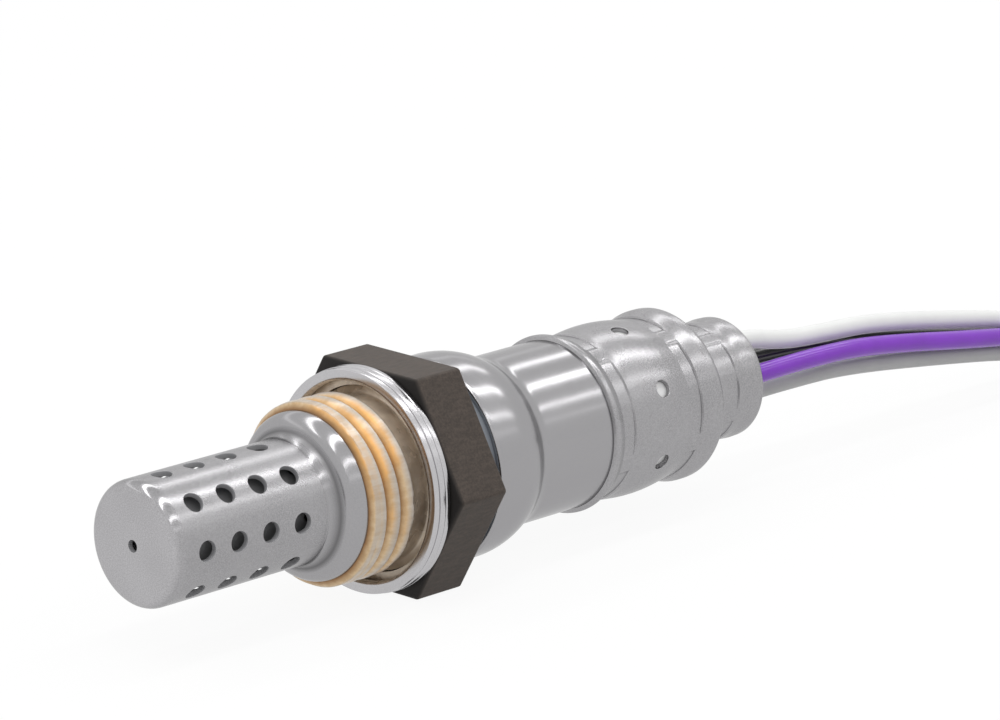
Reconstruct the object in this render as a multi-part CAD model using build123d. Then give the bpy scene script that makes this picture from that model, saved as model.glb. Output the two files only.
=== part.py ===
from build123d import *
import os
from math import cos, pi, radians, sin, sqrt, tan

# Heated exhaust gas sensor with four lead wires, millimetres.
# The sensor's axis is X: the perforated tip points to -X and the wires leave towards +X. The origin lies on
# the axis in the plane where the hexagon's front face takes the gasket. +Z is up, with one flat down.

# Clearances
slip = 0.03  # between turned or drawn pieces that are pressed or pushed together
loose = 0.1  # between pieces that slide together by hand

# Housing: hexagon, thread and nose in one piece
hex_across_flats = 21.7
hex_length = 6.0
hex_corner_radius = 0.35
hex_chamfer = 0.3
thread_radius = 9.0
thread_front_x = -7.5
thread_rear_x = -2.8
thread_chamfer = 0.65
relief_radius = 8.25
relief_blend = 0.45
gasket_seat_radius = 9.05
nose_front_x = -10.05
nose_edge_radius = 1.45
lip_reach = 0.95
lip_edge_wall = 0.08
lip_blend = 0.75
front_pocket_radius = 7.35
front_pocket_x = -9.2
gas_bore_radius = 5.6
rear_bore_radius = 7.45
seat_front_x = -2.2
seat_rear_x = -1.0
land_radius = 9.62
land_rear_x = 10.6
collar_radius = 8.95
collar_rear_x = 12.7
collar_lip_wall = 0.7
collar_lip_radius = 6.9
collar_bend = 0.75

# Folded gasket
gasket_sheet = 0.45
gasket_gap = 0.3
gasket_outer_radius = 11.05
gasket_front_radius = 10.7
gasket_fold_radius = 9.75
gasket_inner_radius = 9.1

# Protectors: two perforated cups, one inside the other
protector_radius = 6.1
protector_wall = 0.5
protector_tip_x = -30.0
protector_tip_radius = 1.2
protector_end_hole = 1.2
flange_radius = 7.3
hole_diameter = 2.0
hole_rows = 4
hole_columns = 8
hole_first_x = -26.3
hole_pitch = 3.97
inner_cup_radius = 4.5
inner_cup_wall = 0.4
inner_cup_tip_x = -27.2
inner_cup_tip_radius = 1.0
inner_hole_diameter = 1.5
inner_hole_columns = 6
inner_hole_x = (-24.3, -12.0)

# Sensing element: a ceramic thimble with a flange
thimble_tip_x = -24.0
thimble_tip_radius = 2.9
thimble_root_radius = 3.5
thimble_rear_radius = 4.6
thimble_flange_rear_x = 2.2
thimble_rear_x = 17.0
thimble_bore_radius = 2.2
thimble_end_wall = 1.0
seat_washer_thickness = 0.3

# Packing behind the flange
talc_rear_x = 6.8
bush_rear_x = 11.1
crimp_ring_bore = 5.2

# Heater
heater_radius = 1.5
heater_tip_x = -21.5
heater_rear_x = 23.0

# Main sleeve: one drawn tube from the housing to the grommet
sleeve_front_x = 7.8
sleeve_front_radius = 10.2
sleeve_wall = 0.5
sleeve_taper_x = 12.0
sleeve_taper_end_x = 15.35
sleeve_radius = 8.46
waist_radius = 7.92
waist_front_x = 26.35
waist_rear_x = 28.4
filter_seat_radius = 7.15
filter_seat_x = 29.2
sleeve_rear_x = 39.4

# Rear cover: vented outer tube, crimped in three bands
cover_front_x = 24.9
cover_wall = 0.43
cover_lip_radius = 8.92
cover_waist_radius = 8.42
cover_vent_radius = 8.64
cover_second_waist_radius = 8.3
cover_ring_radius = 8.77
cover_ring_front_x = 39.2
cover_ring_rear_x = 40.3
neck_radius = 6.17
neck_front_x = 42.5
cover_rear_x = 49.2
cover_end_radius = 6.2
cover_end_roll = 0.4
vent_count = 7
vent_diameter = 1.65
vent_x = 32.4
vent_phase = 26.3

# Crimp prints: each band is pressed by jaws that leave a bump between two prints
crimp_bands = ((26.3, 28.05, 8.28), (36.2, 37.75, 8.18), (42.75, 45.45, 6.03))
crimp_rise = 0.07
bump_angles = (-118.5, -21.0, 61.5, 159.0)
crease_angles = (-70.0, 22.0, 110.0, 200.0)
bump_half_angle = 5.5

# Vent filter between sleeve and cover
filter_front_x = 29.5
filter_rear_x = 38.6

# Terminal insulator, its spring and the contacts
insulator_radius = 6.25
insulator_front_x = 19.0
insulator_rear_x = 36.3
insulator_pocket_radius = 1.75
insulator_pocket_depth = 4.6
wire_circle_radius = 2.6
terminal_hole_radius = 1.25
spring_front_x = 20.2
spring_rear_x = 24.0
spring_sheet = 0.3
spring_slots = 6
spring_slot_width = 1.2
barrel_radius = 1.12
barrel_bore_radius = 0.7
barrel_front_x = 27.4
neck_block_length = 1.1
strip_thickness = 0.3
strip_width = 1.2
strip_front_x = 19.3
contact_tube_front_x = 9.0
contact_tube_rear_x = 16.6
contact_tube_wall = 0.35
clamp_front_x = 13.3
clamp_wall = 0.35
clamp_leg_x = 18.2

# Grommet
grommet_front_x = 37.0
grommet_rear_x = 48.3
grommet_front_length = 2.4
grommet_neck_x = 42.6

# Wires: four single cores on a circle inside the grommet, then a loose bundle that comes down to the floor.
# The floor is where the part lies: the gasket reaches a little lower than the flats.
wire_diameter = 2.0
wire_start_x = 36.45
floor_z = -gasket_outer_radius
bundle_lift = 0.4
bundle_z = floor_z + bundle_lift + wire_diameter

# Inner points of the routes, by hand: out of the grommet, down to the floor and on to the hank
wire_bends = {
    "white_wire": ((51.5, 0, 3.65), (58.5, 0.1, 1.85), (65, 0.15, 1.4), (73, 0.25, 0.95), (85, 0.4, -1.15),
                   (96, 0.7, -3.3), (107, 2.25, -7.4)),
    "black_wire": ((51, 2.55, 0.1), (60, 2.25, 0), (70, 2.05, -0.7), (78, 1.95, -2.05), (86, 1.9, -3.5),
                   (96, 1.95, -5.45), (107, 2.4, -9.6)),
    "purple_wire": ((51, -2.55, 0.1), (60, -2.25, 0.05), (68, -2.1, -0.3), (77, -1.95, -1.6),
                    (85, -1.9, -2.95), (96, -1.5, -4.7), (107, 0.1, -7.4)),
    "grey_wire": ((51, -0.05, -2.5), (60, -0.1, -2.45), (68.5, -0.15, -2.65), (85, -0.3, -4.85),
                  (96, -0.2, -6.6), (107, 0.25, -9.6)),
}
# Where each core lies, as (y, z) steps: on the circle in the grommet, and in the square bundle behind it
core_places = {
    "white_wire": ((0, 1), (1, 1)),
    "black_wire": ((1, 0), (1, -1)),
    "purple_wire": ((-1, 0), (-1, 1)),
    "grey_wire": ((0, -1), (-1, -1)),
}
arc_share = 0.45

# Hank of the bundle: a long oval that it goes round two and a half times, held by a tie about its waist
hank_front_x = 118.0
hank_run = 30.0
hank_bend_radius = 7.3
hank_y = 2.0
bundle_width = 2 * wire_diameter + 0.1
turn_rise = 4.3
crossing_angle = 75.0
tie_width = 3.5
tie_thickness = 0.35
tie_head = (5.0, 4.6, 3.4)

# Connector: a four-way socket housing that lies on the floor, with its mouth towards +X
connector_rear_x = 167.0
connector_length = 32.5
connector_y = 2.0
connector_width = 18.0
connector_height = 14.0
connector_z = floor_z + connector_height / 2
connector_corner = 2.2
connector_wall = 1.5
tower_gap = 1.6
hood_depth = 10.0
cavity_pitch = 4.2
cavity_radius = 1.75
seal_depth = 4.0
slot_size = (2.9, 1.1)
contact_size = (2.3, 2.3)
contact_wall = 0.25
contact_length = 12.0
contact_start = 2.6
tower_setback = 0.6
latch_start = 3.0
latch_root = 3.0
latch_width = 6.5
latch_thickness = 1.3
latch_length = 21.0
latch_gap = 1.2
latch_pad = 3.5
lock_width = 7.0
lock_length = 5.0
lock_setback = 5.0
lock_depth = 2.6
lock_proud = 0.6
tail_top_setback = 11.1
tail_foot_setback = 4.3
tail_rise = 0.15
ring_seal_length = 2.6
ring_seal_squeeze = 0.9
grip_ribs = 4


# Helpers

def rounded_outline(corners):
    """Closed face through corners (x, y) or (x, y, radius), with each radius as a tangent arc."""
    points = [Vector(c[0], c[1]) for c in corners]
    radii = [c[2] if len(c) > 2 else 0 for c in corners]
    count = len(points)
    entries, exits, edges = [], [], []
    for i, point in enumerate(points):
        if not radii[i]:
            entries.append(point)
            exits.append(point)
            continue
        to_last = (points[i - 1] - point).normalized()
        to_next = (points[(i + 1) % count] - point).normalized()
        half = radians(to_last.get_angle(to_next)) / 2
        reach = radii[i] / tan(half)
        entries.append(point + to_last * reach)
        exits.append(point + to_next * reach)
        middle = point + (to_last + to_next).normalized() * (radii[i] / sin(half) - radii[i])
        edges.append(ThreePointArc(entries[i], middle, exits[i]))
    for i in range(count):
        start, end = exits[i], entries[(i + 1) % count]
        if (end - start).length > 1e-6:
            edges.append(Line(start, end))
    return make_face(edges)


def turned(corners):
    """Solid of revolution about the sensor's axis from corners (x, radius) or (x, radius, corner radius)."""
    return revolve(rounded_outline(corners), Axis.X, 360)


def tube(x_front, x_rear, inner, outer):
    """Plain ring about the axis."""
    return turned(((x_front, inner), (x_front, outer), (x_rear, outer), (x_rear, inner)))


def across(x):
    """Plane across the axis at x, with its own x along +Y and its own y along +Z."""
    return Plane(origin=(x, 0, 0), x_dir=(0, 1, 0), z_dir=(1, 0, 0))


def around(radius, angle):
    """Point in a plane across the axis: 0 degrees is -Y and 90 degrees is +Z."""
    return (-radius * cos(radians(angle)), radius * sin(radians(angle)))


def rod(x_front, x_rear, radius, centre=(0, 0)):
    """Cylinder along X whose axis passes through centre (y, z)."""
    face = across(x_front) * Pos(centre[0], centre[1]) * Circle(radius)
    return extrude(face, x_rear - x_front)


def block(x_front, x_rear, centre, width, height, corner=0.0):
    """Bar along X with a rectangular section, width along Y and height along Z."""
    section = RectangleRounded(width, height, corner) if corner else Rectangle(width, height)
    return extrude(across(x_front) * Pos(centre[0], centre[1]) * section, x_rear - x_front)


def radial_holes(columns, radius, x, reach, phase=0.0):
    """Cutters that pass through a wall from inside out, evenly spaced about the axis."""
    drill = Cylinder(radius, reach, align=(Align.CENTER, Align.CENTER, Align.MIN))
    return [Pos(x, 0, 0) * Rot(phase + 360 * i / columns, 0, 0) * drill for i in range(columns)]


# Housing

def housing():
    lip_bore = protector_radius + slip
    nose_radius = thread_radius - thread_chamfer
    body = turned((
        (nose_front_x - lip_reach, lip_bore),
        (nose_front_x - lip_reach, lip_bore + lip_edge_wall),
        (nose_front_x, lip_bore + lip_edge_wall, lip_blend),
        (nose_front_x, nose_radius, nose_edge_radius),
        (thread_front_x - thread_chamfer, nose_radius),
        (thread_front_x, thread_radius),
        (thread_rear_x, thread_radius),
        (thread_rear_x + thread_radius - relief_radius, relief_radius, relief_blend),
        (-relief_blend, relief_radius, relief_blend),
        (0, gasket_seat_radius),
        (hex_length, land_radius),
        (land_rear_x, land_radius),
        (land_rear_x, collar_radius),
        (collar_rear_x, collar_radius, collar_bend),
        (collar_rear_x, collar_lip_radius),
        (collar_rear_x - collar_lip_wall, collar_lip_radius),
        (collar_rear_x - collar_lip_wall, rear_bore_radius),
        (seat_rear_x, rear_bore_radius),
        (seat_front_x, gas_bore_radius),
        (front_pocket_x + protector_wall + inner_cup_wall + 2 * slip, gas_bore_radius),
        (front_pocket_x + protector_wall + inner_cup_wall + 2 * slip, front_pocket_radius),
        (front_pocket_x, front_pocket_radius),
        (front_pocket_x, lip_bore),
    ))
    flats = RegularPolygon(hex_across_flats / 2, 6, major_radius=False, rotation=0)
    nut = extrude(across(0) * flats, hex_length)
    nut = fillet(nut.edges().filter_by(Axis.X), hex_corner_radius)
    blank_radius = hex_across_flats / 2 / cos(radians(30)) - hex_chamfer
    nut &= turned((
        (0, 0),
        (0, blank_radius - hex_chamfer),
        (hex_chamfer, blank_radius + hex_chamfer),
        (hex_length - hex_chamfer, blank_radius + hex_chamfer),
        (hex_length, blank_radius - hex_chamfer),
        (hex_length, 0),
    ))
    nut -= rod(-1, hex_length + 1, rear_bore_radius)
    return body + nut


def gasket():
    """Sheet ring folded in an S: a back layer on the hexagon, a middle layer and a front layer."""
    pitch = gasket_sheet + gasket_gap
    outer_fold = Pos(-gasket_sheet - gasket_gap / 2, gasket_outer_radius - pitch / 2 - gasket_sheet / 2)
    inner_fold = Pos(-gasket_sheet - gasket_gap / 2 - pitch, gasket_fold_radius + pitch / 2 + gasket_sheet / 2)
    ring = Circle(pitch / 2 + gasket_sheet / 2) - Circle(gasket_gap / 2)
    half_out = ring & Pos(0, pitch) * Rectangle(4 * pitch, 2 * pitch)
    half_in = ring & Pos(0, -pitch) * Rectangle(4 * pitch, 2 * pitch)

    def layer(number, inner, outer):
        centre_x = -gasket_sheet / 2 - number * pitch
        return Pos(centre_x, (inner + outer) / 2) * Rectangle(gasket_sheet, outer - inner)

    outer_y = gasket_outer_radius - pitch / 2 - gasket_sheet / 2
    inner_y = gasket_fold_radius + pitch / 2 + gasket_sheet / 2
    front_end = gasket_front_radius - gasket_sheet / 2
    section = (
        layer(0, gasket_inner_radius, outer_y)
        + layer(1, min(inner_y, outer_y), max(inner_y, outer_y) + slip)
        + layer(2, inner_y, front_end)
        + outer_fold * half_out
        + inner_fold * half_in
        + Pos(-gasket_sheet / 2 - 2 * pitch, front_end) * Circle(gasket_sheet / 2)
    )
    return revolve(section, Axis.X, 360)


# Protectors and sensing element

def outer_protector():
    inside = protector_radius - protector_wall
    cup = turned((
        (protector_tip_x, protector_end_hole / 2),
        (protector_tip_x, protector_radius, protector_tip_radius),
        (front_pocket_x + slip, protector_radius),
        (front_pocket_x + slip, flange_radius),
        (front_pocket_x + slip + protector_wall, flange_radius),
        (front_pocket_x + slip + protector_wall, inside, protector_wall),
        (protector_tip_x + protector_wall, inside, protector_tip_radius - protector_wall),
        (protector_tip_x + protector_wall, protector_end_hole / 2),
    ))
    for row in range(hole_rows):
        x = hole_first_x + row * hole_pitch
        cup -= radial_holes(hole_columns, hole_diameter / 2, x, protector_radius + 1)
    return cup


def inner_protector():
    inside = inner_cup_radius - inner_cup_wall
    flange_x = front_pocket_x + slip + protector_wall
    cup = turned((
        (inner_cup_tip_x, 0),
        (inner_cup_tip_x, inner_cup_radius, inner_cup_tip_radius),
        (flange_x, inner_cup_radius),
        (flange_x, flange_radius),
        (flange_x + inner_cup_wall, flange_radius),
        (flange_x + inner_cup_wall, inside, inner_cup_wall),
        (inner_cup_tip_x + inner_cup_wall, inside, inner_cup_tip_radius - inner_cup_wall),
        (inner_cup_tip_x + inner_cup_wall, 0),
    ))
    for number, x in enumerate(inner_hole_x):
        phase = number * 180 / inner_hole_columns
        cup -= radial_holes(inner_hole_columns, inner_hole_diameter / 2, x, inner_cup_radius + 1, phase)
    return cup


def sensing_element():
    front_face = seat_front_x + seat_washer_thickness + slip
    flange = rear_bore_radius - loose
    cone = (seat_rear_x - seat_front_x) / (rear_bore_radius - gas_bore_radius)
    return turned((
        (thimble_tip_x, 0),
        (thimble_tip_x, thimble_tip_radius, thimble_tip_radius - loose),
        (front_face, thimble_root_radius),
        (front_face, gas_bore_radius),
        (front_face + cone * (flange - gas_bore_radius), flange),
        (thimble_flange_rear_x, flange),
        (thimble_flange_rear_x, thimble_rear_radius),
        (thimble_rear_x, thimble_rear_radius),
        (thimble_rear_x, thimble_bore_radius),
        (thimble_tip_x + thimble_end_wall, thimble_bore_radius - 0.3, thimble_bore_radius - 0.3 - loose),
        (thimble_tip_x + thimble_end_wall, 0),
    ))


def seat_washer():
    return turned((
        (seat_front_x + slip, gas_bore_radius + slip),
        (seat_rear_x + slip, rear_bore_radius - slip),
        (seat_rear_x + seat_washer_thickness, rear_bore_radius - slip),
        (seat_front_x + seat_washer_thickness, gas_bore_radius + slip),
    ))


def heater_rod():
    return turned((
        (heater_tip_x, 0),
        (heater_tip_x, heater_radius, heater_radius / 2),
        (heater_rear_x, heater_radius),
        (heater_rear_x, 0),
    ))


def packing():
    """Talc ring, ceramic bush and the metal ring that the housing is crimped over."""
    bore = thimble_rear_radius + slip
    outside = rear_bore_radius - slip
    return {
        "talc_ring": tube(thimble_flange_rear_x, talc_rear_x, bore, outside),
        "ceramic_bush": turned((
            (talc_rear_x, bore),
            (talc_rear_x, outside, 0.3),
            (bush_rear_x, outside, 0.3),
            (bush_rear_x, bore),
        )),
        "crimp_ring": tube(bush_rear_x, collar_rear_x - collar_lip_wall - slip, crimp_ring_bore, outside),
    }


# Rear tubes

def main_sleeve():
    outer = (
        (sleeve_front_x, sleeve_front_radius, 0.45),
        (sleeve_taper_x, sleeve_front_radius - 0.08, 0.9),
        (sleeve_taper_end_x, sleeve_radius + 0.02, 0.5),
        (cover_front_x + 0.7, sleeve_radius, 0.6),
        (waist_front_x, waist_radius, 0.4),
        (waist_rear_x, waist_radius, 0.4),
        (filter_seat_x, filter_seat_radius, 0.4),
        (sleeve_rear_x, filter_seat_radius),
    )
    inner = tuple((x, radius - sleeve_wall) for x, radius, *blend in outer[1:])
    front_bore = land_radius + slip
    return turned(((sleeve_front_x, front_bore), *outer, *reversed(inner), (land_rear_x + slip, front_bore)))


def cover_stations():
    """Places along the rear cover with the outside radius and the blend there, from front to rear."""
    return (
        (cover_front_x + 0.45, cover_lip_radius + 0.02, 0.4),
        (26.45, cover_waist_radius + 0.08, 0.8),
        (28.6, cover_waist_radius, 2.5),
        (31.0, cover_vent_radius, 5.0),
        (34.1, cover_vent_radius, 4.0),
        (36.3, cover_second_waist_radius, 1.5),
        (37.9, cover_second_waist_radius + 0.08, 1.2),
        (cover_ring_front_x, cover_ring_radius, 0.8),
        (cover_ring_rear_x, cover_ring_radius, 0.5),
        (neck_front_x, neck_radius, 0.7),
        (45.6, neck_radius, 2.0),
        (46.7, neck_radius - 0.08, 2.0),
        (48.0, cover_end_radius, 1.2),
    )


def crimp_cutters():
    """Ring sectors that press each band between two bumps, flatter than the tube and creased in the middle."""
    cutters = []
    reach = cover_ring_radius + 2
    for x_front, x_rear, radius in crimp_bands:
        for number, bump in enumerate(bump_angles):
            following = bump_angles[(number + 1) % len(bump_angles)]
            if following < bump:
                following += 360
            start, end = bump + bump_half_angle, following - bump_half_angle
            crease = crease_angles[number] if crease_angles[number] > bump else crease_angles[number] + 360
            if crease > end:
                crease -= 360
            high = radius + crimp_rise
            edges = [
                ThreePointArc(around(high, start), around(radius, (start + crease) / 2), around(high, crease)),
                ThreePointArc(around(high, crease), around(radius, (crease + end) / 2), around(high, end)),
                Line(around(high, end), around(reach, end)),
                ThreePointArc(around(reach, end), around(reach, (start + end) / 2), around(reach, start)),
                Line(around(reach, start), around(high, start)),
            ]
            cutters.append(extrude(across(x_front) * make_face(edges), x_rear - x_front))
    return cutters


def rear_cover():
    outer = cover_stations()
    inner = tuple((x, radius - cover_wall) for x, radius, *blend in outer[1:-1])
    lip_bore = sleeve_radius + slip
    end_bore = neck_radius - cover_wall
    shell = turned((
        (cover_front_x, lip_bore),
        (cover_front_x, cover_lip_radius, 0.12),
        *outer,
        (cover_rear_x, cover_end_radius - 0.05, cover_end_roll),
        (cover_rear_x, end_bore - 0.2),
        (cover_rear_x - cover_wall, end_bore - 0.2),
        (cover_rear_x - cover_wall, end_bore - 0.08),
        *reversed(inner),
        (cover_front_x + 0.75, lip_bore),
    ))
    shell -= crimp_cutters()
    vents = radial_holes(vent_count, vent_diameter / 2, vent_x, cover_vent_radius + 1)
    return shell - [Rot(vent_phase + 90, 0, 0) * vent for vent in vents]


def vent_filter():
    bore = filter_seat_radius + slip
    outside = [(x, radius - cover_wall - slip) for x, radius, *blend in cover_stations()]
    between = [(x, radius - slip) for x, radius in outside if filter_front_x < x < filter_rear_x]
    return turned((
        (filter_front_x, bore),
        (filter_front_x, cover_waist_radius - cover_wall),
        *between,
        (filter_rear_x, cover_second_waist_radius - cover_wall),
        (filter_rear_x, bore),
    ))


# Insulator and contacts

def wire_places():
    """Centres (y, z) of the four cores inside the insulator and the grommet, by the wire's name."""
    return {name: (wire_circle_radius * places[0][0], wire_circle_radius * places[0][1])
            for name, places in core_places.items()}


def terminal_insulator():
    body = turned((
        (insulator_front_x, 0),
        (insulator_front_x, insulator_radius, 0.5),
        (insulator_rear_x, insulator_radius, 0.5),
        (insulator_rear_x, 0),
    ))
    body -= rod(insulator_front_x - 1, insulator_front_x + insulator_pocket_depth, insulator_pocket_radius)
    for centre in wire_places().values():
        body -= rod(insulator_front_x - 1, insulator_rear_x + 1, terminal_hole_radius, centre)
    return body


def insulator_spring():
    """Sheet ring with a slotted skirt that holds the insulator in the middle of the sleeve."""
    bore = insulator_radius + slip
    outside = sleeve_radius - sleeve_wall - slip
    ring = turned((
        (spring_front_x, bore),
        (spring_front_x, outside, spring_sheet),
        (spring_rear_x, outside),
        (spring_rear_x, outside - spring_sheet),
        (spring_front_x + spring_sheet, outside - spring_sheet),
        (spring_front_x + spring_sheet, bore + spring_sheet),
        (spring_rear_x, bore + spring_sheet),
        (spring_rear_x, bore),
    ))
    for number in range(spring_slots):
        turn = Rot(360 * number / spring_slots + 30, 0, 0)
        ring -= turn * block(spring_front_x + 1, spring_rear_x + 1, (0, outside), spring_slot_width, 2)
    return ring


def terminal(centre, strip_front):
    """Barrel in the insulator's hole with a strip that runs forward towards the axis side of the hole."""
    angle = (centre[0] / wire_circle_radius, centre[1] / wire_circle_radius)
    inward = insulator_pocket_radius + strip_thickness / 2 + loose / 2
    strip_centre = (angle[0] * inward, angle[1] * inward)
    along_y, along_z = (strip_thickness, strip_width) if abs(angle[0]) > 0.5 else (strip_width, strip_thickness)
    barrel = rod(barrel_front_x, insulator_rear_x, barrel_radius, centre)
    barrel -= rod(barrel_front_x + neck_block_length, insulator_rear_x + 1, barrel_bore_radius, centre)
    return barrel + block(strip_front, barrel_front_x + neck_block_length / 2, strip_centre, along_y, along_z)


def contacts():
    places = wire_places()
    parts = {
        "heater_terminal_upper": terminal(places["white_wire"], strip_front_x),
        "heater_terminal_lower": terminal(places["grey_wire"], strip_front_x),
    }
    signal = terminal(places["purple_wire"], contact_tube_rear_x - 1)
    outer = thimble_bore_radius - loose
    signal += tube(contact_tube_front_x, contact_tube_rear_x, outer - contact_tube_wall, outer)
    parts["signal_contact"] = signal
    ground = terminal(places["black_wire"], clamp_leg_x)
    clamp_bore = thimble_rear_radius + slip
    ground += tube(clamp_front_x, thimble_rear_x - loose, clamp_bore, clamp_bore + clamp_wall)
    inward = insulator_pocket_radius + loose / 2
    leg_outer = clamp_bore + clamp_wall
    leg = block(clamp_leg_x, clamp_leg_x + strip_thickness, ((inward + leg_outer) / 2, 0), leg_outer - inward,
                strip_width)
    bridge = block(thimble_rear_x - 1, clamp_leg_x + strip_thickness, (leg_outer - clamp_wall / 2, 0), clamp_wall,
                   strip_width)
    parts["ground_contact"] = ground + leg + bridge
    return parts


def grommet():
    front_radius = filter_seat_radius - sleeve_wall - slip
    neck = neck_radius - cover_wall - loose
    body = turned((
        (grommet_front_x, 0),
        (grommet_front_x, front_radius, 0.3),
        (grommet_front_x + grommet_front_length, front_radius, 0.3),
        (grommet_neck_x, neck),
        (grommet_rear_x, neck, 0.4),
        (grommet_rear_x, 0),
    ))
    for name in core_places:
        body -= swept(lead_route(name), wire_diameter + slip)
    return body


# Wires

def lead_route(name):
    """From the contact's barrel through the grommet to the start of the hank."""
    in_grommet, in_bundle = core_places[name]
    radius = wire_diameter / 2
    start = (wire_start_x, in_grommet[0] * wire_circle_radius, in_grommet[1] * wire_circle_radius)
    end = (hank_front_x - loose, hank_y + in_bundle[0] * radius, bundle_z + in_bundle[1] * radius)
    return (start, *wire_bends[name], end)


def tail_route(name):
    """From the end of the hank's third layer over its rear bend and down into the connector's seal."""
    side, level = core_places[name][1]
    radius = wire_diameter / 2
    start_y = hank_y + side * radius
    start_z = bundle_z + 2 * turn_rise + level * radius
    end_y = connector_y + side * cavity_pitch / 2
    end_z = connector_z + level * cavity_pitch / 2
    return (
        (hank_front_x + hank_run + loose, start_y, start_z),
        (connector_rear_x - tail_top_setback, start_y + side * tail_rise, start_z + tail_rise),
        (connector_rear_x - tail_foot_setback, end_y, end_z),
        (connector_rear_x + seal_depth - 0.2, end_y, end_z),
    )


def corner_radii(points):
    """Largest tangent arc at each inner point: a share of the shorter run over the tangent of half the turn."""
    radii = []
    for before, point, after in zip(points, points[1:], points[2:]):
        turn = radians((point - before).get_angle(after - point))
        shorter = min((point - before).length, (after - point).length)
        radii.append(arc_share * shorter / tan(turn / 2))
    return radii


def wire_path(route):
    """Straight runs joined by tangent arcs."""
    points = [Vector(*point) for point in route]
    return FilletPolyline(*points, radius=corner_radii(points))


def swept(route, diameter):
    """Round bar along a route."""
    path = wire_path(route)
    return sweep(Plane(origin=path @ 0, z_dir=path % 0) * Circle(diameter / 2), path=path)


def wire(name, route):
    """One lead, with its length, arcs and volume printed."""
    radii = corner_radii([Vector(*point) for point in route])
    path = wire_path(route)
    solid = swept(route, wire_diameter)
    expected = pi * wire_diameter ** 2 / 4 * path.length
    print(name, "length", round(path.length, 2), "volume share", round(solid.volume / expected, 4),
          "radii", [round(radius, 1) for radius in radii])
    return solid


def hank_and_tie():
    """The bundle's outer shape: an oval ring two layers high, that rises a layer where it passes over the lead."""
    middle_y = hank_y - hank_bend_radius
    middle_x = hank_front_x + hank_run / 2
    base_z = bundle_z - wire_diameter
    two_layers = turn_rise + 2 * wire_diameter
    full_height = turn_rise + two_layers
    length = hank_run + 2 * hank_bend_radius
    outside = SlotOverall(length + bundle_width, 2 * hank_bend_radius + bundle_width)
    inside = SlotOverall(length - bundle_width, 2 * hank_bend_radius - bundle_width)
    hank = Pos(middle_x, middle_y, base_z) * extrude(outside - inside, two_layers)
    section = Plane.XZ * Pos(hank_bend_radius, full_height / 2) * Rectangle(bundle_width, full_height)
    bend_place = Pos(hank_front_x, middle_y, base_z) * Rot(0, 0, 90)
    hank += bend_place * revolve(section, Axis.Z, crossing_angle)
    under = Plane.XZ * Pos(hank_bend_radius, turn_rise / 2) * Rectangle(2 * bundle_width, turn_rise)
    hank -= bend_place * revolve(under, Axis.Z, crossing_angle)
    hank += Pos(middle_x, hank_y, base_z + full_height / 2) * Box(hank_run, bundle_width, full_height)

    near_y = middle_y - hank_bend_radius - bundle_width / 2 - loose
    far_y = hank_y + bundle_width / 2 + loose
    low_z = base_z - slip
    near_z = base_z + two_layers + slip
    far_z = base_z + full_height + slip
    opening = make_face(Polyline((near_y, low_z), (far_y, low_z), (far_y, far_z),
                                 (hank_y - bundle_width / 2, far_z), (near_y, near_z), close=True))
    strip = offset(opening, tie_thickness) - opening
    band = extrude(across(middle_x - tie_width / 2) * strip, tie_width)
    head_y = far_y + tie_thickness / 2 + tie_head[2] / 2
    head = Pos(middle_x, head_y, bundle_z + turn_rise) * Box(tie_head[0], tie_head[2], tie_head[1])
    head = fillet(head.edges().filter_by(Axis.Z), 0.5)
    tail_z = bundle_z + turn_rise + tie_head[1] / 2 + 1.6
    tail = Pos(middle_x, head_y, tail_z) * Box(tie_width - 0.6, 1.0, 3.2)
    return hank, band + head + tail


# Connector

# The connector is drawn from its mouth at x = 0 to its rear, about its own middle line, and then turned round
# to face +X
connector_place = Pos(connector_rear_x + connector_length, connector_y, connector_z) * Rot(0, 0, 180)


def cavity_places():
    step = cavity_pitch / 2
    return [(y, z) for y in (-step, step) for z in (-step, step)]


def connector_body():
    outer = block(0, connector_length, (0, 0), connector_width, connector_height, connector_corner)
    hood_inside = block(-1, hood_depth, (0, 0), connector_width - 2 * connector_wall,
                        connector_height - 2 * connector_wall, connector_corner - connector_wall / 2)
    inset = 2 * (connector_wall + tower_gap)
    tower = block(tower_setback, hood_depth, (0, 0), connector_width - inset, connector_height - inset, 0.6)
    body = outer - hood_inside + tower
    for centre in cavity_places():
        body -= block(-1, hood_depth, centre, *slot_size)
        body -= rod(connector_length - seal_depth, connector_length + 1, cavity_radius, centre)
        body -= block(contact_start - loose, connector_length - seal_depth, centre, contact_size[0] + loose,
                      contact_size[1] + loose)
    lock_x = hood_depth + lock_setback
    lock_y = (lock_depth - connector_width) / 2
    body -= block(lock_x, lock_x + lock_length, (lock_y, 0), lock_depth, lock_width)
    for number in range(grip_ribs):
        rib_x = connector_length - 3 - 2.2 * number
        for side in (-1, 1):
            body += block(rib_x, rib_x + 1, (side * connector_width / 2, 0), 0.8, connector_height - 5)
    top = connector_height / 2
    arm_centre = (0, top + latch_gap + latch_thickness / 2)
    pad_x = latch_start + latch_length
    arm = block(latch_start, pad_x, arm_centre, latch_width, latch_thickness)
    root = block(latch_start, latch_start + latch_root, (0, top + latch_gap / 2), latch_width, latch_gap)
    pad = block(pad_x - latch_pad, pad_x, (0, arm_centre[1] + latch_thickness), latch_width + 2, latch_thickness)
    return connector_place * (body + arm + root + pad)


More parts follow.
